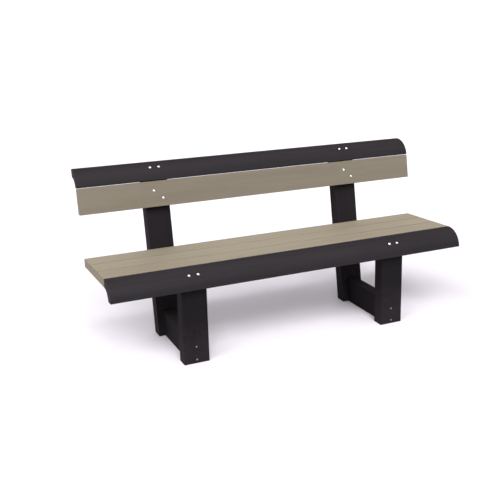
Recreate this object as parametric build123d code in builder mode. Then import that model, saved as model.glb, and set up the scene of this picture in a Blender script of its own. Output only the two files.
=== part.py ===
from build123d import *
import os
from math import cos, radians, sin

# A park bench with a backrest. Two dark side frames, each a front leg, a rear post, a seat bearer and a
# rail lying on the ground, carry three seat planks and one back plank. A curved profile closes the seat's
# front edge, and the same profile caps the backrest. Stainless screws and bolts hold it all together.
# Millimetres and degrees. +X runs along the bench, -Y is the sitter's front, +Z is up, and the origin is
# on the ground under the middle of the bench.

# Whole bench
BENCH_LENGTH = 1803
FRAME_X = 520  # middle of each side frame, either side of the bench's middle
SIDES = {"left": -FRAME_X, "right": FRAME_X}
SEAT_TILT = 2.5  # the seat falls to the back, and the front legs stand square to it
BACK_LEAN = 11
POST_FOOT_Y = 78  # front edge of the rear posts on the ground
SEAT_EDGE_Y = POST_FOOT_Y - 277  # where the seat planks meet the front profile
SEAT_EDGE_Z = 438

# Curved profiles: a quarter ring, and in front one that is cut off a little above its centre
PROFILE_RADIUS = 90
PROFILE_THICKNESS = 40
FRONT_PROFILE_HEIGHT = 88
TOP_PROFILE_HEIGHT = 90
PROFILE_LIP_RADIUS = 4
PROFILE_BACK_RADIUS = 2
HOUSING = 5  # how far the profile is let into the face of each post

# Planks
SEAT_PLANK_WIDTH = 114
SEAT_PLANK_THICKNESS = PROFILE_THICKNESS
BACK_PLANK_WIDTH = 121
BACK_PLANK_THICKNESS = PROFILE_THICKNESS - HOUSING  # flush with the top profile
PLANK_EDGE_RADIUS = 2
END_RADIUS = 1.5  # sawn ends of planks and profiles
SEAM = 2.5  # between seat planks
SEAT_PLANK_NAMES = ("seat_plank_front", "seat_plank_middle", "seat_plank_rear")
SEAT_DEPTH = len(SEAT_PLANK_NAMES) * (SEAM + SEAT_PLANK_WIDTH)  # behind the front profile
BACK_PLANK_UP = 629.5  # lower edge, along the rear post from its foot
BACK_GAP = 2.5  # between back plank and top profile

# Side frames: posts and bearers share one section
POST_WIDTH = 120
POST_THICKNESS = 60
POST_EDGE_RADIUS = 2
RAIL_WIDTH = 60
RAIL_HEIGHT = 120
POST_FRONT = PROFILE_THICKNESS - HOUSING - PROFILE_RADIUS  # behind the profile's back edge
POST_BACK = POST_FRONT + POST_THICKNESS
BEARER_MIDDLE = -SEAT_PLANK_THICKNESS - POST_THICKNESS / 2  # above the seat's surface
TOP_PROFILE_UP = BACK_PLANK_UP + BACK_PLANK_WIDTH + BACK_GAP  # its lower edge, along the post
BEARER_STOCK = 460  # sawn to length between leg and post, as is the rail

# Middle batten, which ties the seat planks together between the frames
BATTEN_WIDTH = 60
BATTEN_THICKNESS = 30

# Screws and bolts: radius of the shank, radius and height of the head, and its socket
LARGE_SCREW = {"shank": 4, "head": 7, "height": 4.5, "rim": 1.2, "socket": 2.6, "depth": 2.4}
SMALL_SCREW = {"shank": 2.5, "head": 4, "height": 2, "rim": 0.6, "socket": 1.5, "depth": 1.2}
SCREW_TIP = 8
BOLT_TIP = 1
HEAD_CLEARANCE = 1.5
PROFILE_SCREW_LENGTH = 85
FRONT_SCREW_ANGLE = 47  # round the curve of the profile, from straight forwards
TOP_SCREW_ANGLE = 45
PROFILE_SPOT_FACE = 0.8
SCREW_PAIR = 43  # across a post, where it meets a profile or the back plank
BACK_BOLT_UPS = (76, 38)  # left and right bolt of a pair, above the plank's lower edge
BACK_BOLT_TAIL = 12  # past the back of the post
WASHER_RADIUS = 12
WASHER_THICKNESS = 2
NUT_RADIUS = 7.5
NUT_HEIGHT = 6.5
NUT_CHAMFER = 1
FOOT_SCREW_LENGTH = 110
FOOT_SCREW_HEIGHTS = (17, 78)
BEARER_PAIR = 80
BEARER_FRONT_SCREW_LENGTH = 90
BEARER_FRONT_SCREW_SINK = 20  # below the face of the front leg, behind the profile
BEARER_BACK_SCREW_LENGTH = 110
PLANK_PAIR = 40
PLANK_SCREW_LENGTH = 65
PLANK_SCREW_SINK = 25
BATTEN_PAIR = 70
BATTEN_SCREW_LENGTH = 50
BATTEN_SCREW_SINK = 8

# Which way a screw head faces: degrees up from straight forwards
FORWARDS, BACKWARDS, DOWNWARDS = 0, 180, -90


# Planes of the leaning parts


def leaning_plane(x, y, z, lean):
    """A plane square to the bench's length: local x runs back and local y runs up, both leaned back."""
    turn = radians(lean)
    return Plane(origin=(x, y, z), x_dir=(0, cos(turn), -sin(turn)), z_dir=(1, 0, 0))


def seat_plane(x):
    """Starts at the top back edge of the front profile; the seat's surface lies along local x."""
    return leaning_plane(x, SEAT_EDGE_Y, SEAT_EDGE_Z, SEAT_TILT)


def post_plane(x):
    """Starts at the front edge of a rear post's foot; the post's front face lies along local y."""
    return leaning_plane(x, POST_FOOT_Y, 0, BACK_LEAN)


def top_plane(x):
    """Starts at the top back edge of the top profile, as seat_plane does at the front profile."""
    up = TOP_PROFILE_UP + TOP_PROFILE_HEIGHT
    corner = post_plane(x).from_local_coords((-POST_FRONT, up, 0))
    return leaning_plane(x, corner.Y, corner.Z, BACK_LEAN)


def up_at_height(plane, back, height):
    """How far up a leaning plane a point is, `back` behind its start and `height` over the ground."""
    return (height - plane.origin.Z - back * plane.x_dir.Z) / plane.y_dir.Z


# Screw places: planes under the heads, whose normals point out of the heads


def pair(spacing):
    """Two places either side of a middle."""
    return (-spacing / 2, spacing / 2)


def head_seat(plane, back, up, facing, across=0):
    """The plane under a screw head at a point of a leaning plane."""
    turn = radians(facing)
    outwards = plane.x_dir * -cos(turn) + plane.y_dir * sin(turn)
    return Plane(origin=plane.from_local_coords((back, up, across)), x_dir=(1, 0, 0), z_dir=outwards)


def profile_screw_seats(edge_plane, angle):
    """Two screws side by side, square to the curved face of a profile where it crosses a post."""
    reach = PROFILE_RADIUS - PROFILE_SPOT_FACE
    back = -reach * cos(radians(angle))
    up = reach * sin(radians(angle)) - PROFILE_RADIUS
    return [head_seat(edge_plane, back, up, angle, across) for across in pair(SCREW_PAIR)]


def back_bolt_seats(x, back, facing):
    """Two bolt places on a diagonal, where the back plank crosses a rear post."""
    seats = []
    for up, across in zip(BACK_BOLT_UPS, pair(SCREW_PAIR)):
        seats.append(head_seat(post_plane(x), back, BACK_PLANK_UP + up, facing, across))
    return seats


def foot_screw_seats(plane, face, facing):
    """Screws one above the other, through the face of a post into the end of the ground rail."""
    return [head_seat(plane, face, up_at_height(plane, face, z), facing) for z in FOOT_SCREW_HEIGHTS]


def bearer_front_seats(x):
    """Two sunk screws through a front leg into the seat bearer."""
    back = POST_FRONT + BEARER_FRONT_SCREW_SINK
    leg = seat_plane(x)
    return [head_seat(leg, back, BEARER_MIDDLE, FORWARDS, across) for across in pair(BEARER_PAIR)]


def bearer_back_seats(x):
    """Two screws square through a rear post into the seat bearer."""
    post = post_plane(x)
    bearer_end = seat_plane(x).from_local_coords((SEAT_DEPTH, BEARER_MIDDLE, 0))
    up = up_at_height(post, POST_THICKNESS, bearer_end.Z)
    return [head_seat(post, POST_THICKNESS, up, BACKWARDS, across) for across in pair(BEARER_PAIR)]


def plank_start(index):
    """Front edge of a seat plank, behind the front profile's back edge."""
    return SEAM + index * (SEAT_PLANK_WIDTH + SEAM)


def plank_screw_seats(x, depth, across_places, along_places):
    """Screws from below into every seat plank, their heads `depth` under the seat's surface."""
    seats = []
    for index in range(len(SEAT_PLANK_NAMES)):
        middle = plank_start(index) + SEAT_PLANK_WIDTH / 2
        for across in across_places:
            for along in along_places:
                seats.append(head_seat(seat_plane(x), middle + along, -depth, DOWNWARDS, across))
    return seats


FRONT_PROFILE_SEATS = []
TOP_PROFILE_SEATS = []
BACK_BOLT_SEATS = []
BACK_NUT_SEATS = []
FOOT_FRONT_SEATS = []
FOOT_BACK_SEATS = []
BEARER_FRONT_SEATS = []
BEARER_BACK_SEATS = []
PLANK_SEATS = []
for frame_x in SIDES.values():
    FRONT_PROFILE_SEATS += profile_screw_seats(seat_plane(frame_x), FRONT_SCREW_ANGLE)
    TOP_PROFILE_SEATS += profile_screw_seats(top_plane(frame_x), TOP_SCREW_ANGLE)
    BACK_BOLT_SEATS += back_bolt_seats(frame_x, -BACK_PLANK_THICKNESS, FORWARDS)
    BACK_NUT_SEATS += back_bolt_seats(frame_x, POST_THICKNESS, BACKWARDS)
    FOOT_FRONT_SEATS += foot_screw_seats(seat_plane(frame_x), POST_FRONT, FORWARDS)
    FOOT_BACK_SEATS += foot_screw_seats(post_plane(frame_x), POST_THICKNESS, BACKWARDS)
    BEARER_FRONT_SEATS += bearer_front_seats(frame_x)
    BEARER_BACK_SEATS += bearer_back_seats(frame_x)
    bearer_bottom = SEAT_PLANK_THICKNESS + POST_THICKNESS
    PLANK_SEATS += plank_screw_seats(frame_x, bearer_bottom - PLANK_SCREW_SINK, pair(PLANK_PAIR), [0])
batten_bottom = SEAT_PLANK_THICKNESS + BATTEN_THICKNESS
BATTEN_SEATS = plank_screw_seats(0, batten_bottom - BATTEN_SCREW_SINK, [0], pair(BATTEN_PAIR))
BACK_BOLT_LENGTH = BACK_PLANK_THICKNESS + POST_THICKNESS + BACK_BOLT_TAIL


# Operations shared by the parts


def drill(seats, screw, length):
    """Holes for the shanks of screws."""
    with Locations(*seats):
        Hole(screw["shank"], length)


def counterbore(seats, screw, length):
    """Holes for the shanks of screws, opened out above the seats of their heads."""
    with Locations(*seats):
        CounterBoreHole(screw["shank"], screw["head"] + HEAD_CLEARANCE, 0, length)


def trim_between_posts(x):
    """Cuts a bearer or rail off at the back of its front leg and at the front of its rear post."""
    leg = seat_plane(x)
    post = post_plane(x)
    split(bisect_by=Plane(leg.from_local_coords((POST_BACK, 0, 0)), z_dir=leg.x_dir), keep=Keep.TOP)
    split(bisect_by=Plane(post.origin, z_dir=post.x_dir), keep=Keep.BOTTOM)


def extrude_along_bench(piece):
    """Gives a plank or profile the bench's length and eases its sawn ends."""
    extrude(amount=BENCH_LENGTH / 2, both=True)
    fillet(piece.faces().filter_by(Axis.X).edges(), END_RADIUS)


def export(piece, name):
    piece.part.label = name
    export_step(piece.part, f"parts/{name}.step")


os.makedirs("parts", exist_ok=True)


# Side frames


def post_blank(edge_plane, profile_height):
    """A post that ends under a profile: its top is rounded to nest in the profile, on a small shoulder."""
    middle = edge_plane.from_local_coords(((POST_FRONT + POST_BACK) / 2, -PROFILE_THICKNESS, 0))
    with BuildPart() as blank:
        with BuildSketch(Plane(middle, x_dir=(1, 0, 0), z_dir=edge_plane.y_dir)):
            RectangleRounded(POST_WIDTH, POST_THICKNESS, POST_EDGE_RADIUS)
        extrude(amount=-2 * edge_plane.origin.Z)
        split(bisect_by=Plane.XY, keep=Keep.TOP)
        with BuildSketch(edge_plane):
            Rectangle(PROFILE_RADIUS, profile_height, align=(Align.MAX, Align.MAX))
            with Locations((0, -PROFILE_RADIUS)):
                Circle(PROFILE_RADIUS - PROFILE_THICKNESS, mode=Mode.SUBTRACT)
        extrude(amount=POST_WIDTH, both=True, mode=Mode.SUBTRACT)
    return blank.part


for side, frame_x in SIDES.items():
    with BuildPart() as front_leg:
        add(post_blank(seat_plane(frame_x), FRONT_PROFILE_HEIGHT))
        drill(FRONT_PROFILE_SEATS, LARGE_SCREW, PROFILE_SCREW_LENGTH)
        drill(FOOT_FRONT_SEATS, SMALL_SCREW, FOOT_SCREW_LENGTH)
        counterbore(BEARER_FRONT_SEATS, SMALL_SCREW, BEARER_FRONT_SCREW_LENGTH)
    export(front_leg, f"front_leg_{side}")

    with BuildPart() as rear_post:
        add(post_blank(top_plane(frame_x), TOP_PROFILE_HEIGHT))
        drill(TOP_PROFILE_SEATS, LARGE_SCREW, PROFILE_SCREW_LENGTH)
        drill(BACK_BOLT_SEATS, LARGE_SCREW, BACK_BOLT_LENGTH)
        drill(BEARER_BACK_SEATS, SMALL_SCREW, BEARER_BACK_SCREW_LENGTH)
        drill(FOOT_BACK_SEATS, SMALL_SCREW, FOOT_SCREW_LENGTH)
    export(rear_post, f"rear_post_{side}")

    with BuildPart() as seat_bearer:
        bearer_front = seat_plane(frame_x).from_local_coords((0, BEARER_MIDDLE, 0))
        with BuildSketch(Plane(bearer_front, x_dir=(1, 0, 0), z_dir=seat_plane(frame_x).x_dir)):
            RectangleRounded(POST_WIDTH, POST_THICKNESS, POST_EDGE_RADIUS)
        extrude(amount=BEARER_STOCK)
        trim_between_posts(frame_x)
        drill(BEARER_FRONT_SEATS, SMALL_SCREW, BEARER_FRONT_SCREW_LENGTH)
        drill(BEARER_BACK_SEATS, SMALL_SCREW, BEARER_BACK_SCREW_LENGTH)
        counterbore(PLANK_SEATS, SMALL_SCREW, PLANK_SCREW_LENGTH)
    export(seat_bearer, f"seat_bearer_{side}")

    with BuildPart() as ground_rail:
        with BuildSketch(Plane.XZ):
            with Locations((frame_x, RAIL_HEIGHT / 2)):
                RectangleRounded(RAIL_WIDTH, RAIL_HEIGHT, POST_EDGE_RADIUS)
        extrude(amount=BEARER_STOCK, both=True)
        trim_between_posts(frame_x)
        drill(FOOT_FRONT_SEATS, SMALL_SCREW, FOOT_SCREW_LENGTH)
        drill(FOOT_BACK_SEATS, SMALL_SCREW, FOOT_SCREW_LENGTH)
    export(ground_rail, f"ground_rail_{side}")


# Seat

for index, name in enumerate(SEAT_PLANK_NAMES):
    with BuildPart() as seat_plank:
        with BuildSketch(seat_plane(0)):
            with Locations((plank_start(index), 0)):
                align = (Align.MIN, Align.MAX)
                RectangleRounded(SEAT_PLANK_WIDTH, SEAT_PLANK_THICKNESS, PLANK_EDGE_RADIUS, align=align)
        extrude_along_bench(seat_plank)
        drill(PLANK_SEATS, SMALL_SCREW, PLANK_SCREW_LENGTH)
        drill(BATTEN_SEATS, SMALL_SCREW, BATTEN_SCREW_LENGTH)
    export(seat_plank, name)

with BuildPart() as seat_batten:
    with BuildSketch(seat_plane(0)):
        with Locations((SEAM, -SEAT_PLANK_THICKNESS)):
            Rectangle(SEAT_DEPTH - SEAM, BATTEN_THICKNESS, align=(Align.MIN, Align.MAX))
    extrude(amount=BATTEN_WIDTH / 2, both=True)
    chamfer(seat_batten.edges().filter_by(Axis.X), END_RADIUS)
    counterbore(BATTEN_SEATS, SMALL_SCREW, BATTEN_SCREW_LENGTH)
export(seat_batten, "seat_batten")


# Curved profiles


def profile(edge_plane, height, seats):
    """A curved profile in its place, with its screw holes."""
    with BuildPart() as piece:
        with BuildSketch(edge_plane) as section:
            with Locations((0, -PROFILE_RADIUS)):
                Circle(PROFILE_RADIUS)
                Circle(PROFILE_RADIUS - PROFILE_THICKNESS, mode=Mode.SUBTRACT)
            Rectangle(PROFILE_RADIUS, height, align=(Align.MAX, Align.MAX), mode=Mode.INTERSECT)
            fillet(section.vertices().group_by(Axis.X)[-1], PROFILE_BACK_RADIUS)
            fillet(section.vertices().group_by(Axis.Y)[0], PROFILE_LIP_RADIUS)
        extrude_along_bench(piece)
        counterbore(seats, LARGE_SCREW, PROFILE_SCREW_LENGTH)
    return piece


export(profile(seat_plane(0), FRONT_PROFILE_HEIGHT, FRONT_PROFILE_SEATS), "seat_front_profile")
export(profile(top_plane(0), TOP_PROFILE_HEIGHT, TOP_PROFILE_SEATS), "back_top_profile")


# Back plank

with BuildPart() as back_plank:
    with BuildSketch(post_plane(0)):
        with Locations((0, BACK_PLANK_UP)):
            align = (Align.MAX, Align.MIN)
            RectangleRounded(BACK_PLANK_THICKNESS, BACK_PLANK_WIDTH, PLANK_EDGE_RADIUS, align=align)
    extrude_along_bench(back_plank)
    drill(BACK_BOLT_SEATS, LARGE_SCREW, BACK_BOLT_LENGTH)
export(back_plank, "back_plank")


# Fasteners: the screws of one kind are separate solids in one piece


def fastener(screw, length, tip=SCREW_TIP):
    """A domed head with a hexagon socket on a plain shank. Its seat is the XY plane, its tip points down."""
    shank = screw["shank"]
    rim_start = (screw["head"], 0)
    rim_end = (screw["head"], screw["rim"])
    with BuildPart() as blank:
        with BuildSketch(Plane.XZ):
            with BuildLine():
                Polyline((0, screw["height"]), (0, -length), (shank / 2, -length), (shank, tip - length))
                Polyline((shank, tip - length), (shank, 0), rim_start, rim_end)
                TangentArc((0, screw["height"]), rim_end, tangent=(1, 0))
            make_face()
        revolve(axis=Axis.Z)
        with BuildSketch(Plane.XY.offset(screw["height"] - screw["depth"])):
            RegularPolygon(screw["socket"], side_count=6)
        extrude(amount=screw["depth"], mode=Mode.SUBTRACT)
    return blank.part


def export_group(solid, seats, name):
    with BuildPart() as group:
        with Locations(*seats):
            add(solid)
    export(group, name)


profile_screw = fastener(LARGE_SCREW, PROFILE_SCREW_LENGTH)
export_group(profile_screw, FRONT_PROFILE_SEATS, "front_profile_screws")
export_group(profile_screw, TOP_PROFILE_SEATS, "top_profile_screws")
export_group(fastener(LARGE_SCREW, BACK_BOLT_LENGTH, BOLT_TIP), BACK_BOLT_SEATS, "back_plank_bolts")

foot_screw = fastener(SMALL_SCREW, FOOT_SCREW_LENGTH)
export_group(foot_screw, FOOT_FRONT_SEATS, "foot_screws_front")
export_group(foot_screw, FOOT_BACK_SEATS, "foot_screws_rear")

bearer_front_screw = fastener(SMALL_SCREW, BEARER_FRONT_SCREW_LENGTH)
export_group(bearer_front_screw, BEARER_FRONT_SEATS, "bearer_screws_front")
bearer_back_screw = fastener(SMALL_SCREW, BEARER_BACK_SCREW_LENGTH)
export_group(bearer_back_screw, BEARER_BACK_SEATS, "bearer_screws_rear")

export_group(fastener(SMALL_SCREW, PLANK_SCREW_LENGTH), PLANK_SEATS, "seat_plank_screws")
export_group(fastener(SMALL_SCREW, BATTEN_SCREW_LENGTH), BATTEN_SEATS, "batten_screws")

with BuildPart() as washer:
    Cylinder(WASHER_RADIUS, WASHER_THICKNESS, align=(Align.CENTER, Align.CENTER, Align.MIN))
    Hole(LARGE_SCREW["shank"])
export_group(washer.part, BACK_NUT_SEATS, "back_bolt_washers")

with BuildPart() as nut:
    with BuildSketch(Plane.XY.offset(WASHER_THICKNESS)):
        RegularPolygon(NUT_RADIUS, side_count=6)
    extrude(amount=NUT_HEIGHT)
    chamfer(nut.faces().sort_by(Axis.Z)[-1].edges(), NUT_CHAMFER)
    Hole(LARGE_SCREW["shank"])
export_group(nut.part, BACK_NUT_SEATS, "back_bolt_nuts")
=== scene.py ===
"""Looks of the park bench: procedural materials, a pale studio and the camera.

Everything is in metres in the part's own frame: X along the bench, Y from front to back, Z up from
the ground. Every shape is the part's own, so this file only gives it its looks.
"""

import math

import bpy
from mathutils import Matrix, Vector


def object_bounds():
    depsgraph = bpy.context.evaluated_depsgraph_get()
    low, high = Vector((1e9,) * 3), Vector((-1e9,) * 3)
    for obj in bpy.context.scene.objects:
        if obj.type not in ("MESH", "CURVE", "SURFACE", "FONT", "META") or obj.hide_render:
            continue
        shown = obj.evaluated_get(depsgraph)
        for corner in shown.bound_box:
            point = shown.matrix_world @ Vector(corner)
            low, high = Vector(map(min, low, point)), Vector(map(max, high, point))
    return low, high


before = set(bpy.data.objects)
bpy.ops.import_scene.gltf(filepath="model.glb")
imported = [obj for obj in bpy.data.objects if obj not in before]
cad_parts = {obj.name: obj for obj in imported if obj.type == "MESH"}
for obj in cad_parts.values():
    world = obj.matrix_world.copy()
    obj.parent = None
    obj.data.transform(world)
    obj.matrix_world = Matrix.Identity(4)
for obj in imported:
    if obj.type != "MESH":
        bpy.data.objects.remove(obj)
cad_low, cad_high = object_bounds()

# ---------------------------------------------------------------- sizes and looks

SEAT_TILT = math.radians(2.5)
BACK_LEAN = math.radians(11)

SAND_LIGHT = (0.176, 0.151, 0.111)
SAND_DARK = (0.152, 0.130, 0.096)
ANTHRACITE_LIGHT = (0.0174, 0.0149, 0.0171)
ANTHRACITE_DARK = (0.0141, 0.0119, 0.0139)
DUST_AND_LIGHT = (0.051, 0.044, 0.048)
STEEL_LIGHT = (0.76, 0.76, 0.77)
STEEL_DARK = (0.62, 0.62, 0.63)
DULL_STEEL_LIGHT = (0.34, 0.33, 0.33)
DULL_STEEL_DARK = (0.24, 0.235, 0.235)

# How fine a board's patterns are: a stretch is for its length and its two other directions.
CLOUD_STRETCH = (0.8, 7, 7)
STREAK_STRETCH = (1.2, 55, 55)
HAIRLINE_STRETCH = (9, 650, 650)
PIT_STRETCH = (0.5, 1, 1)
SAW_STRETCH = (40, 40, 900)
DUST_STRETCH = (1, 1, 1.6)
CLOUD_SCALE = 2.0
GRAIN_SCALE = 900.0
PIT_SCALE = 330.0
PORE_SCALE = 420.0
WEAR_SCALE = 60.0
DUST_SCALE = 24.0
BOARD_BUMP = 0.0006

# The splashed dust and the painted light near the ground fade out at this height above the ground.
SPLASH_AND_LIGHT_HEIGHT = 0.42

STEEL_CLOUD_SCALE = 260.0
STEEL_SPOT_SCALE = 900.0
SCRATCH_TURN = (0.3, 0.5, 0.2)
SCRATCH_STRETCH = (250, 5000, 5000)
STEEL_BUMP = 0.00005

# The floor reaches this far from the bench each way, so its far edge never shows.
FLOOR_HALF = 3000.0
FLOOR_COLOUR = (0.80, 0.762, 0.822)
FLOOR_ROUGHNESS = 0.9
FLOOR_SPECULAR = 0.1
SKY_COLOUR = (1.0, 0.99, 1.0)
SKY_STRENGTH = 0.06
BACKDROP_WHITE = 1.05
LAMP_ANGLE = math.radians(40)

CAMERA_TARGET = Vector((-0.21559, -0.12167, 0.47501))
CAMERA_AZIMUTH = math.radians(-24.414)
CAMERA_ELEVATION = math.radians(17.377)
CAMERA_ROLL = math.radians(-0.580)
CAMERA_DISTANCE = 3.5979
CAMERA_REACH = 10000.0
SENSOR_WIDTH = 36.0
CAMERA_LENS = 57.32


# ---------------------------------------------------------------- node materials

class Graph:
    """Short calls for building a node material.

    A value is a number, a vector, a colour or another node's output.
    """

    def __init__(self, name):
        self.material = bpy.data.materials.new(name)
        self.material.use_nodes = True
        self.tree = self.material.node_tree
        self.shader = self.tree.nodes["Principled BSDF"]

    def set(self, node, values):
        for socket, value in values.items():
            target = node.inputs[socket]
            if isinstance(value, bpy.types.NodeSocket):
                self.tree.links.new(value, target)
            else:
                target.default_value = value

    def node(self, kind, values, **settings):
        made = self.tree.nodes.new("ShaderNode" + kind)
        for name, value in settings.items():
            setattr(made, name, value)
        self.set(made, values)
        return made

    def math(self, operation, first, second=0.0):
        return self.node("Math", {0: first, 1: second}, operation=operation).outputs[0]

    def noise(self, vector, scale, detail=3.0, roughness=0.55):
        values = {"Vector": vector, "Scale": scale, "Detail": detail, "Roughness": roughness}
        return self.node("TexNoise", values).outputs["Fac"]

    def cells(self, vector, scale):
        return self.node("TexVoronoi", {"Vector": vector, "Scale": scale}).outputs

    def spread(self, value, low, high, to_low=0.0, to_high=1.0):
        """The value's range low to high, stretched to another range and held at its ends."""
        values = {"From Min": low, "From Max": high, "To Min": to_low, "To Max": to_high}
        values["Value"] = value
        return self.node("MapRange", values, interpolation_type="SMOOTHSTEP").outputs[0]

    def mix(self, factor, first, second):
        node = self.node("Mix", {"Factor": factor}, data_type="RGBA")
        colours = [s for s in node.inputs if s.type == "RGBA"]
        for socket, value in zip(colours, (first, second)):
            if isinstance(value, tuple):
                socket.default_value = (*value, 1.0)
            else:
                self.tree.links.new(value, socket)
        return [s for s in node.outputs if s.type == "RGBA"][0]

    def place(self, rotation=(0, 0, 0), scale=(1, 1, 1)):
        """Object coordinates in metres, turned and stretched."""
        coordinates = self.node("TexCoord", {}).outputs["Object"]
        turned = self.node("Mapping", {"Vector": coordinates, "Rotation": rotation}).outputs[0]
        return self.node("Mapping", {"Vector": turned, "Scale": scale}).outputs[0]

    def facing(self, turn):
        """How far the surface faces each of the turned axes, either way, from 0 to 1."""
        normal = self.node("TexCoord", {}).outputs["Normal"]
        values = {"Vector": normal, "Rotation": turn}
        normal = self.node("Mapping", values, vector_type="VECTOR").outputs[0]
        normal = self.node("VectorMath", {0: normal}, operation="ABSOLUTE").outputs[0]
        return self.node("SeparateXYZ", {"Vector": normal}).outputs

    def skyward(self):
        """1 on faces turned up to the sky, 0 on upright faces and those turned down."""
        normal = self.node("TexCoord", {}).outputs["Normal"]
        upward = self.node("SeparateXYZ", {"Vector": normal}).outputs[2]
        return self.spread(upward, 0.40, 0.95)


def shade(colour, factor):
    return tuple(channel * factor for channel in colour)


def board_material(
    name,
    light,
    dark,
    turn,
    specular,
    roughness,
    edge,
    painted_top_light,
    tone_and_shade=1.0,
    dust_and_light=0.0,
    settled_dust_and_light=0.0,
    flat_sides=True,
):
    """Drawn recycled plastic: flow streaks and hairlines along the board, pits and sawn ends.

    The turn takes the board's own length to X and its faces to the axes. The tone darkens or
    lightens the whole board: on the back plank it is a batch's own shade, on the frame parts it
    is painted shade, the profiles' anthracite made darker where it stands under the seat. The edge
    is the shade of its rounded edges: above 1 where they are rubbed pale, below 1 where dirt stays
    on them. Faces turned up to the sky are painted paler than the others: painted light from
    above. Near the ground the board is made lighter by splashed dust and painted light, so it is
    darker higher up in the seat's shade. Faces turned up also get settled dust, partly painted
    light on tops that the seat keeps from the lamps.
    A board without flat sides, such as a curved profile, has rounded edges only at its ends.
    """
    # The tone: a batch's own shade on the back plank, painted shade on the frame parts.
    light, dark = shade(light, tone_and_shade), shade(dark, tone_and_shade)
    g = Graph(name)
    clouds = g.noise(g.place(turn, CLOUD_STRETCH), CLOUD_SCALE, 4.0)
    streaks = g.noise(g.place(turn, STREAK_STRETCH), 1.0, 5.0, 0.6)
    hairlines = g.noise(g.place(turn, HAIRLINE_STRETCH), 1.0, 3.0, 0.6)
    grain = g.noise(g.place(turn), GRAIN_SCALE, 4.0, 0.6)

    # Pits: a small round spot in about one cell of eight.
    pit_cells = g.cells(g.place(turn, PIT_STRETCH), PIT_SCALE)
    cell_draw = g.node("SeparateColor", {"Color": pit_cells["Color"]}).outputs[0]
    spots = g.spread(pit_cells["Distance"], 0.10, 0.28, 1, 0)
    pits = g.math("MULTIPLY", spots, g.spread(cell_draw, 0.86, 0.90))

    # Where the surface is a sawn end, a rounded edge or turned up to the sky.
    skyward = g.skyward()
    facing = g.facing(turn)
    ends = g.spread(facing[0], 0.80, 0.98)
    if flat_sides:
        flattest = g.math("MAXIMUM", facing[0], g.math("MAXIMUM", facing[1], facing[2]))
        edges = g.spread(flattest, 0.93, 0.995, 1, 0)
    else:
        near_end = g.spread(facing[0], 0.05, 0.30)
        edges = g.math("MULTIPLY", near_end, g.spread(facing[0], 0.70, 0.95, 1, 0))
    wear = g.spread(g.noise(g.place(turn), WEAR_SCALE, 4.0), 0.38, 0.62, 0.25, 1)
    worn = g.math("MULTIPLY", edges, wear)

    # Colour along the board: clouds, streaks and hairlines, then painted top light on faces turned
    # up, pits and worn edges.
    flow = g.math("ADD", g.math("MULTIPLY", streaks, 0.5), g.math("MULTIPLY", clouds, 0.5))
    fine_lines = g.math("MULTIPLY", g.math("SUBTRACT", hairlines, 0.5), 0.60)
    flow = g.spread(g.math("ADD", flow, fine_lines), 0.32, 0.68)
    # Painted light: faces turned up to the sky are made paler, as if lit from above.
    painted_top_lit = g.mix(flow, shade(dark, painted_top_light), shade(light, painted_top_light))
    colour = g.mix(skyward, g.mix(flow, dark, light), painted_top_lit)
    colour = g.mix(g.math("MULTIPLY", pits, 0.7), colour, shade(dark, 0.40))
    colour = g.mix(g.math("MULTIPLY", worn, 0.8), colour, shade(light, edge))

    # Sawn ends: saw marks and the pores of the core.
    saw = g.noise(g.place(turn, SAW_STRETCH), 1.0, 2.0, 0.5)
    core = g.cells(g.place(turn), PORE_SCALE)["Distance"]
    pores = g.math("MULTIPLY", g.spread(core, 0.15, 0.40, 1, 0), ends)
    sawn = g.mix(g.spread(saw, 0.35, 0.65), shade(light, 0.97), shade(light, 1.30))
    colour = g.mix(ends, colour, sawn)
    colour = g.mix(g.math("MULTIPLY", pores, 0.40), colour, shade(dark, 0.6))

    # Splashed dust and painted light: lighter towards the ground, so darker higher up where the
    # seat shades the board.
    if dust_and_light or settled_dust_and_light:
        up = g.node("SeparateXYZ", {"Vector": g.place()}).outputs[2]
        blotches = g.noise(g.place(scale=DUST_STRETCH), DUST_SCALE, 5.0, 0.65)
        fade = g.spread(up, 0.0, SPLASH_AND_LIGHT_HEIGHT, 1.1, 0)
        splash_and_light = g.math("SUBTRACT", fade, g.math("MULTIPLY", blotches, 0.9))
        splash_and_light = g.math("MULTIPLY", g.spread(splash_and_light, 0.0, 0.8), dust_and_light)
        # Settled dust on faces turned up, partly painted light on tops that the seat keeps from the
        # lamps.
        thickness = g.spread(blotches, 0.30, 0.70, settled_dust_and_light * 0.7, settled_dust_and_light)
        layer = g.math("MULTIPLY", skyward, thickness)
        colour = g.mix(g.math("MAXIMUM", splash_and_light, layer), colour, DUST_AND_LIGHT)

    # Roughness: it follows the hairlines, clouds and grain, rougher on sawn ends, smoother if worn.
    line_part = g.spread(hairlines, 0.30, 0.70, -0.05, 0.05)
    cloud_part = g.spread(clouds, 0.35, 0.65, -0.03, 0.04)
    grain_part = g.spread(grain, 0.30, 0.70, roughness - 0.03, roughness + 0.04)
    rough = g.math("ADD", g.math("ADD", line_part, cloud_part), grain_part)
    rough = g.math("ADD", rough, g.math("MULTIPLY", ends, 0.20))
    rough = g.math("SUBTRACT", rough, g.math("MULTIPLY", worn, 0.08))

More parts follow.
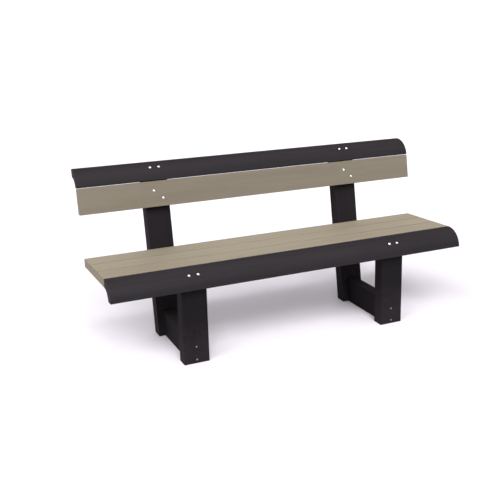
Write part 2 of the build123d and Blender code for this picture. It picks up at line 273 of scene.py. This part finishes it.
    # Relief: hairlines, grain and streaks, sunk at the pits and pores, raised by the saw marks.
    height = g.math("ADD", g.math("MULTIPLY", hairlines, 0.35), g.math("MULTIPLY", grain, 0.35))
    height = g.math("ADD", height, g.math("MULTIPLY", streaks, 1.2))
    height = g.math("SUBTRACT", height, g.math("MULTIPLY", pits, 0.8))
    height = g.math("SUBTRACT", height, g.math("MULTIPLY", pores, 0.9))
    height = g.math("ADD", height, g.math("MULTIPLY", g.math("MULTIPLY", saw, ends), 0.8))
    bump_values = {"Height": height, "Strength": 0.8, "Distance": BOARD_BUMP}
    bump = g.node("Bump", bump_values).outputs[0]
    g.set(g.shader, {"Base Color": colour, "Roughness": rough, "Normal": bump})
    g.shader.inputs["Specular IOR Level"].default_value = specular
    return g.material


def steel_material(name, light, dark, smoothest):
    """Steel with soft clouds, fine scratches and dull spots, no smoother than given."""
    g = Graph(name)
    clouds = g.noise(g.place(), STEEL_CLOUD_SCALE, 3.0)
    scratches = g.noise(g.place(SCRATCH_TURN, SCRATCH_STRETCH), 1.0, 2.0)
    spots = g.spread(g.noise(g.place(), STEEL_SPOT_SCALE, 2.0), 0.60, 0.72)
    colour = g.mix(g.spread(clouds, 0.35, 0.65), dark, light)
    colour = g.mix(g.math("MULTIPLY", spots, 0.3), colour, shade(dark, 0.6))
    rough = g.spread(scratches, 0.3, 0.7, smoothest, smoothest + 0.14)
    rough = g.math("ADD", rough, g.math("MULTIPLY", spots, 0.2))
    height = g.math("SUBTRACT", scratches, g.math("MULTIPLY", spots, 0.6))
    bump_values = {"Height": height, "Strength": 0.3, "Distance": STEEL_BUMP}
    bump = g.node("Bump", bump_values).outputs[0]
    g.set(g.shader, {"Base Color": colour, "Roughness": rough, "Normal": bump})
    g.shader.inputs["Metallic"].default_value = 1.0
    return g.material


# Each turn takes a board's length to X: first its tilt about X, then the quarter turn.
QUARTER_TURN = math.radians(90)
SEAT_BOARD = (SEAT_TILT, 0, 0)
BACK_BOARD = (BACK_LEAN, 0, 0)
SEAT_BEARER = (SEAT_TILT, 0, -QUARTER_TURN)
GROUND_RAIL = (0, 0, -QUARTER_TURN)
UPRIGHT = (0, QUARTER_TURN, 0)
LEANING_UPRIGHT = (BACK_LEAN, QUARTER_TURN, 0)

# The top-light factors below are painted light on faces turned up to the sky.
SAND = {
    "light": SAND_LIGHT,
    "dark": SAND_DARK,
    "specular": 0.30,
    "roughness": 0.55,
    "edge": 0.70,
    "painted_top_light": 1.61,
}
ANTHRACITE = {
    "light": ANTHRACITE_LIGHT,
    "dark": ANTHRACITE_DARK,
    "specular": 0.12,
    "roughness": 0.52,
    "edge": 1.35,
    "painted_top_light": 1.55,
}
CURVED = {**ANTHRACITE, "flat_sides": False}
FRAME = {**ANTHRACITE, "specular": 0.03, "roughness": 0.60, "edge": 1.0}
# Rail: its low tone is painted shade, and its settled dust is partly painted light on its top under
# the seat.
RAIL = {**FRAME, "tone_and_shade": 0.76, "dust_and_light": 0.05, "settled_dust_and_light": 0.6}

# Tones below 1 on the frame parts are painted shade: the profiles' own anthracite made darker where
# it stands under the seat.
BOARD_LOOKS = {
    "seat_plank": board_material("sand_seat", turn=SEAT_BOARD, **SAND),
    "back_plank": board_material("sand_back", turn=BACK_BOARD, tone_and_shade=1.02, **SAND),
    "seat_front_profile": board_material("anthracite_front_profile", turn=SEAT_BOARD, **CURVED),
    "back_top_profile": board_material("anthracite_top_profile", turn=BACK_BOARD, **CURVED),
    "seat_batten": board_material("anthracite_batten", turn=SEAT_BEARER, tone_and_shade=0.65, **FRAME),
    "seat_bearer": board_material("anthracite_bearer", turn=SEAT_BEARER, tone_and_shade=0.60, **FRAME),
    "ground_rail": board_material("anthracite_rail", turn=GROUND_RAIL, **RAIL),
    "front_leg": board_material("anthracite_leg", turn=UPRIGHT, tone_and_shade=0.64, dust_and_light=0.20, **FRAME),
    "rear_post": board_material(
        "anthracite_post", turn=LEANING_UPRIGHT, tone_and_shade=0.98, dust_and_light=0.06, **FRAME
    ),
}
DULL_STEEL = steel_material("dull_steel", DULL_STEEL_LIGHT, DULL_STEEL_DARK, 0.40)
BRIGHT_STEEL = steel_material("bright_steel", STEEL_LIGHT, STEEL_DARK, 0.22)


def look_of(name):
    """A node's material: its fixings are steel, dull at the feet, and the rest are boards."""
    if name.startswith("foot_screws"):
        return DULL_STEEL
    if "screws" in name or "bolt" in name:
        return BRIGHT_STEEL
    starts = [start for start in BOARD_LOOKS if name.startswith(start)]
    return BOARD_LOOKS[starts[0]]


for name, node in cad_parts.items():
    node.data.materials.clear()
    node.data.materials.append(look_of(name))


# ---------------------------------------------------------------- studio

def add_floor():
    half = FLOOR_HALF
    mesh = bpy.data.meshes.new("floor")
    corners = [(-half, -half, 0), (half, -half, 0), (half, half, 0), (-half, half, 0)]
    mesh.from_pydata(corners, [], [(0, 1, 2, 3)])
    floor = bpy.data.objects.new("floor", mesh)
    bpy.context.scene.collection.objects.link(floor)
    material = bpy.data.materials.new("floor_white")
    material.use_nodes = True
    shader = material.node_tree.nodes["Principled BSDF"]
    shader.inputs["Base Color"].default_value = (*FLOOR_COLOUR, 1.0)
    shader.inputs["Roughness"].default_value = FLOOR_ROUGHNESS
    shader.inputs["Specular IOR Level"].default_value = FLOOR_SPECULAR
    mesh.materials.append(material)
    floor.location.z = cad_low.z


def add_sky():
    """A faint even sky that shows to the camera as the same white as the floor."""
    world = bpy.data.worlds.new("studio")
    world.use_nodes = True
    tree = world.node_tree
    seen = tree.nodes.new("ShaderNodeLightPath").outputs["Is Camera Ray"]
    strength = tree.nodes.new("ShaderNodeMapRange")
    tree.links.new(seen, strength.inputs["Value"])
    strength.inputs["To Min"].default_value = SKY_STRENGTH
    strength.inputs["To Max"].default_value = BACKDROP_WHITE
    background = tree.nodes["Background"]
    background.inputs["Color"].default_value = (*SKY_COLOUR, 1.0)
    tree.links.new(strength.outputs[0], background.inputs["Strength"])
    bpy.context.scene.world = world


def add_lamp(name, azimuth, elevation, strength, glossy=True):
    """A wide soft light from far away.

    Azimuth 0 is in front of the bench and 90 is at its right end. A lamp that isn't glossy only
    fills, and shows in no reflection.
    """
    lamp = bpy.data.lights.new(name, "SUN")
    lamp.angle = LAMP_ANGLE
    lamp.energy = strength
    holder = bpy.data.objects.new(name, lamp)
    bpy.context.scene.collection.objects.link(holder)
    holder.visible_glossy = glossy
    a, e = math.radians(azimuth), math.radians(elevation)
    towards_lamp = Vector((math.sin(a) * math.cos(e), -math.cos(a) * math.cos(e), math.sin(e)))
    holder.rotation_mode = "QUATERNION"
    holder.rotation_quaternion = towards_lamp.to_track_quat("Z", "Y")


def add_camera():
    a, e = CAMERA_AZIMUTH, CAMERA_ELEVATION
    forward = Vector((-math.sin(a) * math.cos(e), math.cos(a) * math.cos(e), -math.sin(e)))
    level_right = forward.cross(Vector((0, 0, 1))).normalized()
    level_up = level_right.cross(forward)
    right = level_right * math.cos(CAMERA_ROLL) + level_up * math.sin(CAMERA_ROLL)
    up = level_up * math.cos(CAMERA_ROLL) - level_right * math.sin(CAMERA_ROLL)
    data = bpy.data.cameras.new("camera")
    data.sensor_width = SENSOR_WIDTH
    data.lens = CAMERA_LENS
    data.clip_end = CAMERA_REACH
    camera = bpy.data.objects.new("camera", data)
    bpy.context.scene.collection.objects.link(camera)
    turn = Matrix((right, up, -forward)).transposed().to_4x4()
    camera.matrix_world = Matrix.Translation(CAMERA_TARGET - forward * CAMERA_DISTANCE) @ turn
    bpy.context.scene.camera = camera


add_floor()
add_sky()
add_lamp("key_front", azimuth=-15, elevation=45, strength=3.32)
add_lamp("key_left", azimuth=-75, elevation=45, strength=1.94)
add_lamp("low_right", azimuth=45, elevation=30, strength=0.57)
add_lamp("behind_left", azimuth=200, elevation=10, strength=1.17, glossy=False)
add_lamp("behind", azimuth=160, elevation=10, strength=1.38, glossy=False)
add_lamp("behind_right", azimuth=135, elevation=30, strength=0.49, glossy=False)
add_camera()
bpy.context.scene.view_settings.view_transform = "Standard"
bpy.context.scene.view_settings.look = "None"
